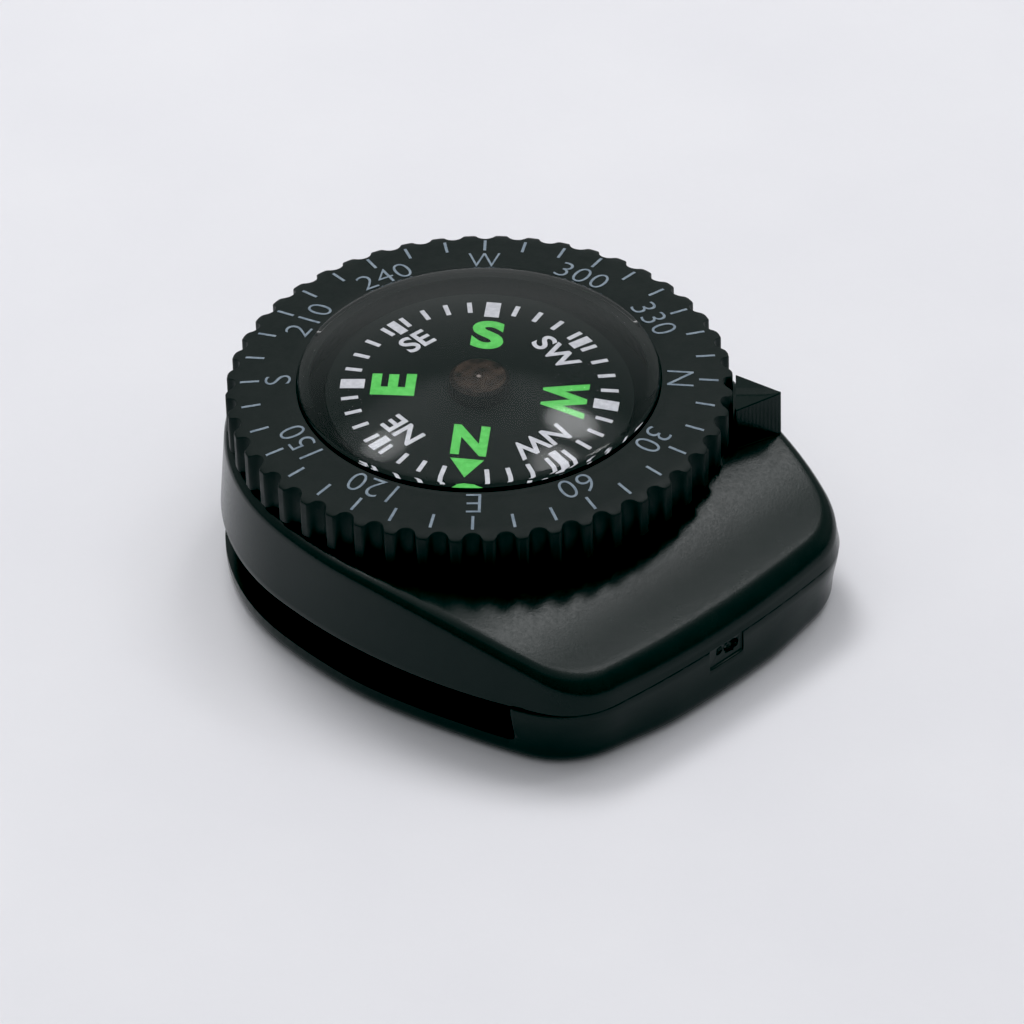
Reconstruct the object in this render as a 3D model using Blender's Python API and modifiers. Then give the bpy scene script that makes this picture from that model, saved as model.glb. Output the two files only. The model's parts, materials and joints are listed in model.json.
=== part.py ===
"""Clip-on watch-strap compass: a liquid-filled capsule in a fluted bezel, on a case with a strap slot under it.

Frame: metres, +Z up, the clip plate's flat underside on Z = 0. The nose points along -Y, and the compass's
own axis is vertical at (0, AXIS_Y), so that the origin is the centre of the outline.
"""

import math

import bmesh
import bpy
from mathutils import Matrix, Vector

MM = 0.001

# Outline of the case, seen from above
ROUND_R = 15.1 * MM            # round end, about the compass's axis
NOSE_REACH = 19.75 * MM        # from the compass's axis to the middle of the nose
NOSE_R = 73.0 * MM             # gentle bulge of the nose's front wall
SIDE_R = 35.5 * MM             # bulge of the two sides
SIDE_TANGENT = math.radians(4.7)   # where a side leaves the round end, behind square
CORNER_R = 5.2 * MM
AXIS_Y = (NOSE_REACH - ROUND_R) / 2
OUTLINE_STEPS = 144

# Heights
PLATE_T = 1.35 * MM            # clip plate under the strap slot
SEAM_Z = 3.9 * MM              # top of the strap slot, and the seam round the nose
LEDGE_Z = 8.95 * MM            # deck around the bezel at the round end
WELL_FLOOR_Z = 4.9 * MM
COLLAR_TOP_Z = 11.35 * MM
SCALE_Z = 11.85 * MM           # bezel's top face at its degree ticks
GAP = 0.03 * MM                # between pieces that touch

# Case
DECK_FLAT = 5.0 * MM           # the deck starts to fall this far ahead of the axis
DECK_FALL = 0.017 / MM         # and falls with the square of the distance beyond it
WALL_DRAFT = 0.3 * MM          # how far the wall leans in on its way up
FLANK_DRAFT = 1.25 * MM        # and more between the round end and the nose
SHOULDER_R = 0.65 * MM
NOSE_SHOULDER_R = 1.1 * MM
WELL_R = 10.28 * MM
COLLAR_R = 11.6 * MM
GROOVE_Z = (10.0 * MM, 10.6 * MM)
COLLAR_GROOVE_R = 11.1 * MM

# Direction arrow
ARROW_TURN = math.radians(44.5)    # from the nose towards +X
ARROW_BASE = 14.75 * MM        # from the compass's axis
ARROW_TIP = 17.2 * MM
ARROW_HALF = 1.7 * MM
ARROW_TOP_Z = 10.95 * MM
ARROW_GROOVE = 0.25 * MM

# Clip plate
PLATE_ROUND_R = 14.95 * MM
PLATE_SIDE_R = 38.0 * MM
PLATE_EDGE_R = 0.9 * MM
SLOT_END = 15.25 * MM          # closed end of the strap slot, ahead of the axis
SLOT_CORNER_R = 0.4 * MM
PEG_R = 0.85 * MM
PEG_X = 6.0 * MM
PEG_AHEAD = 17.0 * MM
PEG_TOP_Z = 5.2 * MM
GATE_SIZE = (3.2 * MM, 0.8 * MM, 1.4 * MM)

# Bezel
FLUTES = 48
FLUTE_DEPTH = 0.45 * MM
FLUTE_POINTS = 4
BEZEL_R = 14.5 * MM
BEZEL_HOLE_R = 10.4 * MM
BEZEL_BOTTOM_Z = 9.15 * MM
BEZEL_BORE_R = 11.75 * MM
BEZEL_GROOVE_R = 12.2 * MM
TENSION_R = 11.66 * MM
TENSION_WIRE_R = 0.22 * MM
TENSION_SPLIT = math.radians(16.0)

# Capsule
DOME_R = 10.2 * MM
DOME_APEX_Z = 14.47 * MM
DOME_SPHERE_R = 26.4 * MM
DOME_T = 1.1 * MM
DOME_FOOT_Z = 10.2 * MM
CUP_R = 10.1 * MM
LIQUID_R = 9.45 * MM
CUP_Z = 5.2 * MM
CUP_FLOOR_T = 0.9 * MM
PLUG_X = -5.5 * MM
PLUG_R = 0.8 * MM
PAD_R = 9.5 * MM

# Card assembly, in heights above the point of the needle
PIVOT_Z = 9.75 * MM
CARD_TILT = math.radians(4.3)      # the card rides a little off level
CARD_TILT_HEADING = math.radians(-9.1)
CARD_R = 8.2 * MM
CARD_TOP = -0.61 * MM
CARD_T = 0.25 * MM
CARD_HOLE_R = 1.15 * MM
MAGNET_R = (1.35 * MM, 4.2 * MM)
MAGNET_T = 0.8 * MM
HUB_R = 1.6 * MM
HUB_TOP = 0.75 * MM
JEWEL_R = 0.8 * MM
PIN_R = 0.2 * MM
POST_R = 2.2 * MM

ROUND_STEPS = 64
SMALL_STEPS = 32


def clear_scene():
    for obj in list(bpy.data.objects):
        bpy.data.objects.remove(obj, do_unlink=True)


def new_collection(name):
    collection = bpy.data.collections.new(name)
    bpy.context.scene.collection.children.link(collection)
    return collection


def make_material(name, colour, roughness, metallic=0.0):
    material = bpy.data.materials.new(name)
    material.use_nodes = True
    shader = material.node_tree.nodes["Principled BSDF"]
    shader.inputs["Base Color"].default_value = (*colour, 1.0)
    shader.inputs["Roughness"].default_value = roughness
    shader.inputs["Metallic"].default_value = metallic
    return material


def add_object(name, mesh, collection, material=None, smooth_angle=None):
    obj = bpy.data.objects.new(name, mesh)
    collection.objects.link(obj)
    if material:
        mesh.materials.append(material)
    if smooth_angle:
        mesh.shade_smooth()
        mesh.set_sharp_from_angle(angle=smooth_angle)
    return obj


def turned(name, profile, collection, material, steps=ROUND_STEPS, closed=True):
    """A profile of (radius, height) points, run down its outer side, turned about the object's own Z."""
    mesh = bpy.data.meshes.new(name)
    edges = [(i, i + 1) for i in range(len(profile) - 1)]
    if closed:
        edges.append((len(profile) - 1, 0))
    mesh.from_pydata([(r, 0.0, z) for r, z in profile], edges, [])
    obj = add_object(name, mesh, collection, material)
    screw = obj.modifiers.new("turn", "SCREW")
    screw.steps = steps
    screw.render_steps = steps
    screw.use_merge_vertices = True
    screw.merge_threshold = 0.000001
    screw.use_smooth_shade = True
    obj.location = (0.0, AXIS_Y, 0.0)
    return obj


def loft(name, rings, collection, material, ring_shaped=False):
    """Rings of equal length joined in order: closed on itself, or capped at both ends."""
    bm = bmesh.new()
    made = [[bm.verts.new(point) for point in ring] for ring in rings]
    count = len(made[0])
    pairs = list(zip(made, made[1:]))
    if ring_shaped:
        pairs.append((made[-1], made[0]))
    for lower, upper in pairs:
        for i in range(count):
            j = (i + 1) % count
            bm.faces.new((lower[i], lower[j], upper[j], upper[i]))
    if not ring_shaped:
        bm.faces.new(list(reversed(made[0])))
        bm.faces.new(made[-1])
    bmesh.ops.recalc_face_normals(bm, faces=bm.faces)
    mesh = bpy.data.meshes.new(name)
    bm.to_mesh(mesh)
    bm.free()
    return add_object(name, mesh, collection, material, smooth_angle=math.radians(35))


def cutter_box(name, size, location, collection, bevel=0.0):
    bm = bmesh.new()
    bmesh.ops.create_cube(bm, size=1.0, matrix=Matrix.Diagonal((*size, 1.0)))
    mesh = bpy.data.meshes.new(name)
    bm.to_mesh(mesh)
    bm.free()
    obj = add_object(name, mesh, collection)
    obj.location = location
    if bevel:
        rounding = obj.modifiers.new("bevel", "BEVEL")
        rounding.width = bevel
        rounding.segments = 3
    return obj


def rod(name, radius, z_low, z_high, x, y, collection, material=None, steps=SMALL_STEPS):
    bm = bmesh.new()
    middle = Matrix.Translation((x, y, (z_low + z_high) / 2))
    bmesh.ops.create_cone(bm, cap_ends=True, segments=steps, radius1=radius, radius2=radius,
                          depth=z_high - z_low, matrix=middle)
    mesh = bpy.data.meshes.new(name)
    bm.to_mesh(mesh)
    bm.free()
    return add_object(name, mesh, collection, material, smooth_angle=math.radians(35))


def boolean(obj, other, operation="DIFFERENCE"):
    modifier = obj.modifiers.new(other.name, "BOOLEAN")
    modifier.operation = operation
    modifier.object = other
    other.hide_render = True
    other.display_type = "WIRE"


# Outline: everything below is seen from the compass's axis, as (across, ahead towards the nose)

def ray_to_circle(direction, centre, radius):
    """Distance from the axis along a unit direction to the far side of a circle round centre."""
    along = direction.dot(centre)
    return along + math.sqrt(along * along - centre.length_squared + radius * radius)


def outline_circles(round_r, side_r):
    """Centre and radius of the side's, the nose's and the corner's arcs."""
    tangent = Vector((math.cos(SIDE_TANGENT), -math.sin(SIDE_TANGENT)))
    side = -tangent * (side_r - round_r)
    nose = Vector((0.0, NOSE_REACH - NOSE_R))
    to_side = side_r - CORNER_R
    to_nose = NOSE_R - CORNER_R
    between = side - nose
    apart = between.length
    along = (to_nose ** 2 - to_side ** 2 + apart ** 2) / (2 * apart)
    off = math.sqrt(to_nose ** 2 - along ** 2)
    unit = between / apart
    foot = nose + unit * along
    corner = foot - Vector((-unit.y, unit.x)) * off
    return side, nose, corner


def outline_radius(heading, round_r, side_r):
    """Distance from the axis to the outline; heading runs from the nose, 0, to the round end, pi."""
    side, nose, corner = outline_circles(round_r, side_r)
    direction = Vector((math.sin(heading), math.cos(heading)))
    side_end = corner + (corner - side).normalized() * CORNER_R
    nose_end = corner + (corner - nose).normalized() * CORNER_R
    if heading >= math.pi / 2 + SIDE_TANGENT:
        return round_r
    if heading >= math.atan2(side_end.x, side_end.y):
        return ray_to_circle(direction, side, side_r)
    if heading >= math.atan2(nose_end.x, nose_end.y):
        return ray_to_circle(direction, corner, CORNER_R)
    return ray_to_circle(direction, nose, NOSE_R)


def headings(steps=OUTLINE_STEPS, start=0.0):
    return [start + 2 * math.pi * i / steps for i in range(steps)]


def place(heading, radius, z):
    """World point at a heading from the nose, counter-clockwise seen from above."""
    return (radius * math.sin(heading), AXIS_Y - radius * math.cos(heading), z)


def outline(inset=0.0, round_r=ROUND_R, side_r=SIDE_R):
    return [outline_radius(min(h, 2 * math.pi - h), round_r, side_r) - inset for h in headings()]


def deck_z(heading, radius):
    beyond = max(0.0, radius * math.cos(heading) - DECK_FLAT)
    return LEDGE_Z - DECK_FALL * beyond * beyond


def shoulder(heading):
    """Radius of the rounded shoulder: small at the round end, larger at the nose."""
    share = max(0.0, math.cos(heading))
    return SHOULDER_R + (NOSE_SHOULDER_R - SHOULDER_R) * share * share


def draft(heading):
    ahead = max(0.0, math.cos(heading))
    return WALL_DRAFT + FLANK_DRAFT * ahead * math.sin(heading) ** 2


def case_rings():
    wall = outline()
    turns = headings()
    rings = [[place(h, r, SEAM_Z) for h, r in zip(turns, wall)]]
    for angle in (0.0, 30.0, 60.0, 90.0):
        rise = math.radians(angle)
        ring = []
        for h, r in zip(turns, wall):
            rounding = shoulder(h)
            inner = r - draft(h) - rounding * (1 - math.cos(rise))
            ring.append(place(h, inner, deck_z(h, inner) - rounding * (1 - math.sin(rise))))
        rings.append(ring)
    for share in (0.33, 0.67, 1.0):
        ring = []
        for h, r in zip(turns, wall):
            start = r - draft(h) - shoulder(h)
            inner = start + (COLLAR_R - start) * share
            ring.append(place(h, inner, deck_z(h, inner)))
        rings.append(ring)
    collar = [(COLLAR_R, GROOVE_Z[0]), (COLLAR_GROOVE_R, GROOVE_Z[0]), (COLLAR_GROOVE_R, GROOVE_Z[1]),
              (COLLAR_R, GROOVE_Z[1]), (COLLAR_R, COLLAR_TOP_Z), (WELL_R, COLLAR_TOP_Z),
              (WELL_R, WELL_FLOOR_Z)]
    rings += [[place(h, radius, z) for h in turns] for radius, z in collar]
    return rings


def arrow_prism(cutters):
    """The direction arrow: a triangular block on the deck, with a shallow groove down its middle."""
    def corner(reach, side, z):
        local = Vector((math.sin(ARROW_TURN), -math.cos(ARROW_TURN)))
        across = Vector((-local.y, local.x))
        point = local * reach + across * side
        return (point.x, point.y + AXIS_Y, z)

    half_groove = 2 * ARROW_GROOVE
    sides = (-ARROW_HALF, -half_groove, 0.0, half_groove, ARROW_HALF)
    depths = (0.0, 0.0, ARROW_GROOVE, 0.0, 0.0)
    bottom = SEAM_Z + 3 * MM
    length = ARROW_TIP - ARROW_BASE
    rings = []
    for side, depth in zip(sides, depths):
        reach = ARROW_BASE + length * (1 - abs(side) / ARROW_HALF)
        reach = max(reach, ARROW_BASE + 0.05 * MM)
        low_back = corner(ARROW_BASE, side, bottom)
        low_front = corner(reach, side, bottom)
        high_front = corner(reach, side, ARROW_TOP_Z - depth)
        high_back = corner(ARROW_BASE, side, ARROW_TOP_Z - depth)
        rings.append([low_back, low_front, high_front, high_back])
    return loft("arrow_block", rings, cutters, None)


def build_case(parts, cutters, material):
    case = loft("case", case_rings(), parts, material)
    boolean(case, arrow_prism(cutters), "UNION")
    for side in (-1, 1):
        socket = rod("peg_socket", PEG_R + GAP, SEAM_Z - MM, PEG_TOP_Z + GAP,
                     side * PEG_X, AXIS_Y - PEG_AHEAD, cutters)
        boolean(case, socket)
    return case


def build_clip_plate(parts, cutters, material):
    wall = outline(0.0, PLATE_ROUND_R, PLATE_SIDE_R)
    turns = headings()
    rings = []
    for angle in (0.0, 45.0, 90.0):
        rise = math.radians(angle)
        inset = PLATE_EDGE_R * (1 - math.sin(rise))
        z = PLATE_EDGE_R * (1 - math.cos(rise))
        rings.append([place(h, r - inset, z) for h, r in zip(turns, wall)])
    rings.append([place(h, r, SEAM_Z - GAP) for h, r in zip(turns, wall)])
    plate = loft("clip_plate", rings, parts, material)
    slot_length = 2 * ROUND_R
    slot_low = PLATE_T
    slot_high = SEAM_Z + 4 * MM
    slot = cutter_box("strap_slot", (4 * ROUND_R, slot_length + SLOT_END, slot_high - slot_low),
                      (0.0, AXIS_Y + (slot_length - SLOT_END) / 2, (slot_low + slot_high) / 2),
                      cutters, bevel=SLOT_CORNER_R)
    boolean(plate, slot)
    gate = cutter_box("gate_recess", GATE_SIZE,
                      (0.0, AXIS_Y - NOSE_REACH, SEAM_Z + 0.1 * MM - GATE_SIZE[2] / 2), cutters)
    boolean(plate, gate)
    for side in (-1, 1):
        peg = rod("weld_peg", PEG_R, SEAM_Z - MM, PEG_TOP_Z, side * PEG_X, AXIS_Y - PEG_AHEAD, cutters)
        boolean(plate, peg, "UNION")
    return plate


def flute_depth(index):
    """Depth of the fluting at one point of the bezel's rim: nothing at a crest, most in mid-flute."""
    return FLUTE_DEPTH * math.sin(math.pi * (index % FLUTE_POINTS) / FLUTE_POINTS)


def build_bezel(parts, material):
    """Rings down the inside, across the bottom and up the fluted outside; share is how much is fluted."""
    profile = [(BEZEL_HOLE_R, SCALE_Z + 0.2 * MM, 0.0), (BEZEL_HOLE_R, COLLAR_TOP_Z + 0.15 * MM, 0.0),
               (BEZEL_BORE_R, COLLAR_TOP_Z + 0.15 * MM, 0.0), (BEZEL_BORE_R, GROOVE_Z[1], 0.0),
               (BEZEL_GROOVE_R, GROOVE_Z[1], 0.0), (BEZEL_GROOVE_R, GROOVE_Z[0], 0.0),
               (BEZEL_BORE_R, GROOVE_Z[0], 0.0), (BEZEL_BORE_R, BEZEL_BOTTOM_Z, 0.0),
               (BEZEL_R - 0.15 * MM, BEZEL_BOTTOM_Z, 1.0), (BEZEL_R, BEZEL_BOTTOM_Z + 0.15 * MM, 1.0),
               (BEZEL_R, SCALE_Z - 0.75 * MM, 1.0), (BEZEL_R - 0.25 * MM, SCALE_Z - 0.45 * MM, 1.0),
               (BEZEL_R - 0.7 * MM, SCALE_Z - 0.18 * MM, 0.3), (BEZEL_R - 1.4 * MM, SCALE_Z, 0.0)]
    count = FLUTES * FLUTE_POINTS
    turns = headings(count, ARROW_TURN + math.pi / FLUTES)
    rings = []
    for radius, z, share in profile:
        rings.append([place(h, radius - share * flute_depth(i), z) for i, h in enumerate(turns)])
    return loft("bezel", rings, parts, material, ring_shaped=True)


def build_tension_ring(parts, material):
    curve = bpy.data.curves.new("bezel_tension_ring", "CURVE")
    curve.dimensions = "3D"
    curve.bevel_depth = TENSION_WIRE_R
    curve.bevel_resolution = 1
    curve.use_fill_caps = True
    spline = curve.splines.new("POLY")
    count = 56
    spline.points.add(count - 1)
    start = ARROW_TURN + math.pi
    for i in range(count):
        heading = start + TENSION_SPLIT / 2 + (2 * math.pi - TENSION_SPLIT) * i / (count - 1)
        spline.points[i].co = (*place(heading, TENSION_R, sum(GROOVE_Z) / 2), 1.0)
    curve.materials.append(material)
    obj = bpy.data.objects.new("bezel_tension_ring", curve)
    parts.objects.link(obj)
    return obj


def arc_profile(radius, apex_z, r_from, r_to, points):
    """Points of a spherical cap's section, from one radius to another."""
    made = []
    for i in range(points):
        r = r_from + (r_to - r_from) * i / (points - 1)
        made.append((r, apex_z - radius + math.sqrt(radius * radius - r * r)))
    return made


def build_dome(parts, material):
    rim = 0.2 * MM
    outer = arc_profile(DOME_SPHERE_R, DOME_APEX_Z, 0.0, DOME_R - rim, 8)
    rim_z = outer[-1][1]
    inner = arc_profile(DOME_SPHERE_R - DOME_T, DOME_APEX_Z - DOME_T, LIQUID_R, 0.0, 7)
    skirt = [(DOME_R, rim_z - rim), (DOME_R, DOME_FOOT_Z), (LIQUID_R, DOME_FOOT_Z)]
    return turned("capsule_dome", outer + skirt + inner, parts, material, closed=False)


def build_cup(parts, cutters, material):
    top = DOME_FOOT_Z - GAP
    floor = CUP_Z + CUP_FLOOR_T
    profile = [(0.0, floor), (LIQUID_R, floor), (LIQUID_R, top), (CUP_R, top), (CUP_R, CUP_Z), (0.0, CUP_Z)]
    cup = turned("capsule_cup", profile, parts, material, closed=False)
    boolean(cup, rod("fill_hole", PLUG_R, CUP_Z - MM, floor + MM, PLUG_X, AXIS_Y, cutters))
    return cup


def build_plug(parts, material):
    top = CUP_Z + CUP_FLOOR_T + 0.3 * MM
    rod("fill_plug", PLUG_R - GAP, CUP_Z + GAP, top, PLUG_X, AXIS_Y, parts, material)


def build_pad(parts, material):
    high = CUP_Z - GAP
    low = WELL_FLOOR_Z + GAP
    turned("capsule_pad", [(0.0, high), (PAD_R, high), (PAD_R, low), (0.0, low)], parts, material,
           closed=False)


def build_pivot(parts, post_material, pin_material):
    """The post on the capsule's floor, and the needle standing in its blind hole."""
    foot = CUP_Z + CUP_FLOOR_T + GAP
    bore = PIN_R + GAP
    post_top = 8.0 * MM
    bore_floor = foot + 0.5 * MM
    post = [(0.0, bore_floor), (bore, bore_floor), (bore, post_top), (0.9 * MM, post_top),
            (1.1 * MM, foot + 0.6 * MM), (POST_R, foot + 0.4 * MM), (POST_R, foot), (0.0, foot)]
    turned("pivot_post", post, parts, post_material, SMALL_STEPS, closed=False)
    tip = PIVOT_Z
    pin = [(0.0, tip), (0.03 * MM, tip - 0.03 * MM), (PIN_R, tip - 0.5 * MM), (PIN_R, bore_floor + GAP),
           (0.0, bore_floor + GAP)]
    turned("pivot_pin", pin, parts, pin_material, 16, closed=False)


def card_pivot(parts):
    """An empty at the point of the needle; its Z is the card's own spin axis, a little off vertical."""
    empty = bpy.data.objects.new("card_pivot", None)
    empty.location = (0.0, AXIS_Y, PIVOT_Z)
    lean_axis = Vector((-math.sin(CARD_TILT_HEADING), math.cos(CARD_TILT_HEADING), 0.0))
    empty.rotation_mode = "QUATERNION"
    empty.rotation_quaternion = Matrix.Rotation(CARD_TILT, 4, lean_axis).to_quaternion()
    parts.objects.link(empty)
    return empty


def build_card_assembly(parts, materials):
    """Card, magnet, hub and jewel; heights are above the point of the needle."""
    pivot = card_pivot(parts)
    card_bottom = CARD_TOP - CARD_T
    card = [(CARD_HOLE_R, CARD_TOP), (CARD_R, CARD_TOP), (CARD_R, card_bottom), (CARD_HOLE_R, card_bottom)]
    magnet_top = card_bottom - GAP
    magnet_in, magnet_out = MAGNET_R
    magnet_bottom = magnet_top - MAGNET_T
    magnet = [(magnet_in, magnet_top), (magnet_out, magnet_top), (magnet_out, magnet_bottom),
              (magnet_in, magnet_bottom)]
    bore = JEWEL_R + GAP
    jewel_top = 0.5 * MM
    spigot = CARD_HOLE_R - GAP
    spigot_end = card_bottom - 0.1 * MM
    edge = 0.2 * MM
    hub = [(0.0, HUB_TOP), (HUB_R - edge, HUB_TOP), (HUB_R, HUB_TOP - edge), (HUB_R, CARD_TOP + GAP),
           (spigot, CARD_TOP + GAP), (spigot, spigot_end), (bore, spigot_end), (bore, jewel_top + GAP),
           (0.0, jewel_top + GAP)]
    jewel_bottom = -0.35 * MM
    jewel = [(0.0, jewel_top), (JEWEL_R, jewel_top), (JEWEL_R, jewel_bottom), (0.55 * MM, jewel_bottom),
             (0.0, GAP)]
    made = [turned("compass_card", card, parts, materials["card"]),
            turned("card_magnet", magnet, parts, materials["magnet"], SMALL_STEPS),
            turned("jewel_cup", hub, parts, materials["brass"], SMALL_STEPS, closed=False),
            turned("jewel", jewel, parts, materials["jewel"], SMALL_STEPS, closed=False)]
    for piece in made:
        piece.location = (0.0, 0.0, 0.0)
        piece.parent = pivot


def build():
    clear_scene()
    parts = new_collection("strap_compass")
    cutters = new_collection("cutters")
    black = make_material("case_plastic", (0.018, 0.021, 0.020), 0.42)
    materials = {
        "card": make_material("card_print", (0.012, 0.012, 0.012), 0.6),
        "magnet": make_material("ferrite", (0.06, 0.055, 0.05), 0.55),
        "brass": make_material("hub_brass", (0.32, 0.20, 0.10), 0.4, 1.0),
        "jewel": make_material("jewel_glass", (0.55, 0.10, 0.12), 0.1),
    }
    build_case(parts, cutters, black)
    build_clip_plate(parts, cutters, black)
    build_bezel(parts, make_material("bezel_plastic", (0.016, 0.018, 0.018), 0.38))
    build_tension_ring(parts, make_material("spring_steel", (0.6, 0.6, 0.6), 0.3, 1.0))
    build_dome(parts, make_material("clear_acrylic", (0.9, 0.9, 0.9), 0.05))
    build_cup(parts, cutters, make_material("cup_plastic", (0.015, 0.015, 0.016), 0.4))
    build_plug(parts, make_material("plug_rubber", (0.03, 0.03, 0.03), 0.8))
    build_pad(parts, make_material("adhesive_pad", (0.75, 0.72, 0.62), 0.9))
    build_pivot(parts, make_material("post_plastic", (0.6, 0.6, 0.58), 0.5),
                make_material("needle_steel", (0.7, 0.7, 0.72), 0.25, 1.0))
    build_card_assembly(parts, materials)


build()
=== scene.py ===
"""Looks of the clip-on strap compass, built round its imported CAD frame.

Frame: metres, +Z up, the clip plate's underside on Z = 0, the nose towards -Y. Headings run from the nose,
counter-clockwise seen from above, round the compass's own vertical axis.
"""

import json
import math
import random

import bmesh
import bpy
from mathutils import Matrix, Vector


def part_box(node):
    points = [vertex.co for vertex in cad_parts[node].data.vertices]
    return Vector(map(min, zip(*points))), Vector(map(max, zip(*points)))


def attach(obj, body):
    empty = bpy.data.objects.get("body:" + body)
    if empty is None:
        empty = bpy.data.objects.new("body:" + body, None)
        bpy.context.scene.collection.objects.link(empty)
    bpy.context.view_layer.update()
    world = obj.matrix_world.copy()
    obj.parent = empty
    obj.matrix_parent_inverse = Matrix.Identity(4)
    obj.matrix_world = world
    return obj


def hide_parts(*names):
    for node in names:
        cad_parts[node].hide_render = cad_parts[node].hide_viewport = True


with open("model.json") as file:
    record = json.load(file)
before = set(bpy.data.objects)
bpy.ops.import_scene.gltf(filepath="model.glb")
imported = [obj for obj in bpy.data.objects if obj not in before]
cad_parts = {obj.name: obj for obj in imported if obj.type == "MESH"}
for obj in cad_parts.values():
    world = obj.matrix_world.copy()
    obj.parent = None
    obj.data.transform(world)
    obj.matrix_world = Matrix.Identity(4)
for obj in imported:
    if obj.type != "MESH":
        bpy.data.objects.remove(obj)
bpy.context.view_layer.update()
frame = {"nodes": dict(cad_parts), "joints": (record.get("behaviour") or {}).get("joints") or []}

MM = 0.001
FULL_TURN = 2 * math.pi

# Places and sizes that the frame gives
JOINTS = {joint["name"]: joint for joint in frame["joints"]}
AXIS_Y = JOINTS["bezel_turn"]["pos_m"][1]
CASE_LOW, CASE_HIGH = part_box("case")
PLATE_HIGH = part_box("clip_plate")[1]
BEZEL_LOW, BEZEL_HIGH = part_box("bezel")
DOME_LOW, DOME_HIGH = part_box("capsule_dome")

ROUND_R = CASE_HIGH.y - AXIS_Y
NOSE_REACH = AXIS_Y - CASE_LOW.y
SEAM_Z = CASE_LOW.z
COLLAR_TOP_Z = 11.35 * MM
PLATE_ROUND_R = PLATE_HIGH.y - AXIS_Y
BEZEL_R = (BEZEL_HIGH.x - BEZEL_LOW.x) / 2
BEZEL_BOTTOM_Z = BEZEL_LOW.z
INNER_LIP_Z = BEZEL_HIGH.z
DOME_R = (DOME_HIGH.x - DOME_LOW.x) / 2
DOME_FOOT_Z = DOME_LOW.z
DOME_APEX_Z = DOME_HIGH.z

# Case outline and height
NOSE_R = 73.0 * MM
SIDE_R = 35.5 * MM
SIDE_TANGENT = math.radians(4.7)
CORNER_R = 4.3 * MM
LEDGE_Z = 8.95 * MM
DECK_FLAT = 5.0 * MM
DECK_FALL = 0.017 / MM
WALL_DRAFT = 0.3 * MM          # lean of the wall at the round end
NOSE_DRAFT = 0.08 * MM
RIGHT_LEAN = 1.35 * MM         # of the flanks between the round end and the nose
LEFT_LEAN = 0.2 * MM
SHOULDER_R = 0.65 * MM
NOSE_SHOULDER_R = 1.1 * MM
SEAM_EDGE = 0.06 * MM
SEAM_GAP = 0.02 * MM
WELL_R = 10.28 * MM
WELL_FLOOR_Z = 4.9 * MM
COLLAR_R = 11.6 * MM
GROOVE_Z = (10.0 * MM, 10.6 * MM)
COLLAR_GROOVE_R = 11.1 * MM
OUTLINE_STEPS = 360

# Direction arrow
ARROW_TURN = math.radians(44.5)
ARROW_BASE = 14.62 * MM
ARROW_TIP = 17.2 * MM
ARROW_HALF = 1.7 * MM
ARROW_TOP_Z = 10.95 * MM
ARROW_GROOVE = 0.15 * MM
ARROW_GROOVE_HALF = 0.42 * MM

# Clip plate
PLATE_T = 1.35 * MM
PLATE_SIDE_R = 38.0 * MM
PLATE_CORNER_R = 5.2 * MM
PLATE_EDGE_R = 0.9 * MM
PLATE_TAPER = 0.4 * MM
SLOT_END = 15.25 * MM
SLOT_CORNER_R = 0.4 * MM
GATE_SIZE = (2.7 * MM, 0.34 * MM, 1.4 * MM)

# Bezel
FLUTES = 48
FLUTE_POINTS = 24
FLUTE_DEPTH = 0.56 * MM
FLUTE_HALF = 0.58 * MM
CREST_FALL = 0.32 * MM
SCALE_Z = INNER_LIP_Z - 0.2 * MM
TICK_RING_R = 13.1 * MM
BEZEL_HOLE_R = 10.43 * MM
BEZEL_BORE_R = 11.75 * MM
BEZEL_GROOVE_R = 12.2 * MM
TICK_SPAN = (12.55 * MM, 13.65 * MM)
TICK_WIDTH = 0.165 * MM
FIGURE_HEIGHT = 1.5 * MM
FIGURE_RING_R = 11.48 * MM

# Capsule
DOME_SPHERE_R = 26.4 * MM
DOME_T = 1.1 * MM
LIQUID_R = 9.45 * MM

# Card, in heights above the point of the needle
CARD_TOP = -0.61 * MM
CARD_NORTH = math.radians(-140.4)      # where the card's N points, from +X
PRINT_T = 0.012 * MM

# Camera: azimuth 0 looks along +Y
CAMERA_AZIMUTH = math.radians(-43.1396)
CAMERA_ELEVATION = math.radians(38.0621)
CAMERA_ROLL = math.radians(1.6663)
CAMERA_DISTANCE = 427.4 * MM
CAMERA_AIM = Vector((-1.974 * MM, -2.216 * MM, 5.948 * MM))
CAMERA_LENS = 263.67

# Setting: how bright the room is at the horizon, above it and overhead, the elevations between which one
# fades into the next, the room's share behind the camera, and the plain backdrop that the camera sees
FLOOR_R = 90 * MM
HORIZON = 0.27
WALLS_TOP = math.radians(16)
ROOM = 0.52
CEILING_FROM = math.radians(44)
CEILING_FULL = math.radians(55)
CEILING = 1.38
BEHIND = 0.5
BACKDROP = 0.83

# The room's soft lights, angles in degrees: azimuth from straight beyond the compass, elevation, full
# within, gone at, strength
LIGHTS = [
    (34.0, 57.0, 1.5, 6.5, 9.3),
    (50.0, 69.0, 2.0, 7.0, 6.6),
    (65.0, 56.5, 1.0, 5.5, 7.7),
    (-42.0, 60.0, 2.0, 6.0, 5.5),
]

# Key lamp for matt surfaces, left of beyond: azimuth, elevation, distance and size in metres, power in watts
KEY = (-20.0, 62.0, 0.45, 0.16, 0.7)

# Darkest tones of the picture sink to a greenish black
BLACK_LEVEL = (0.008, 0.0045, 0.0052)


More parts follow.
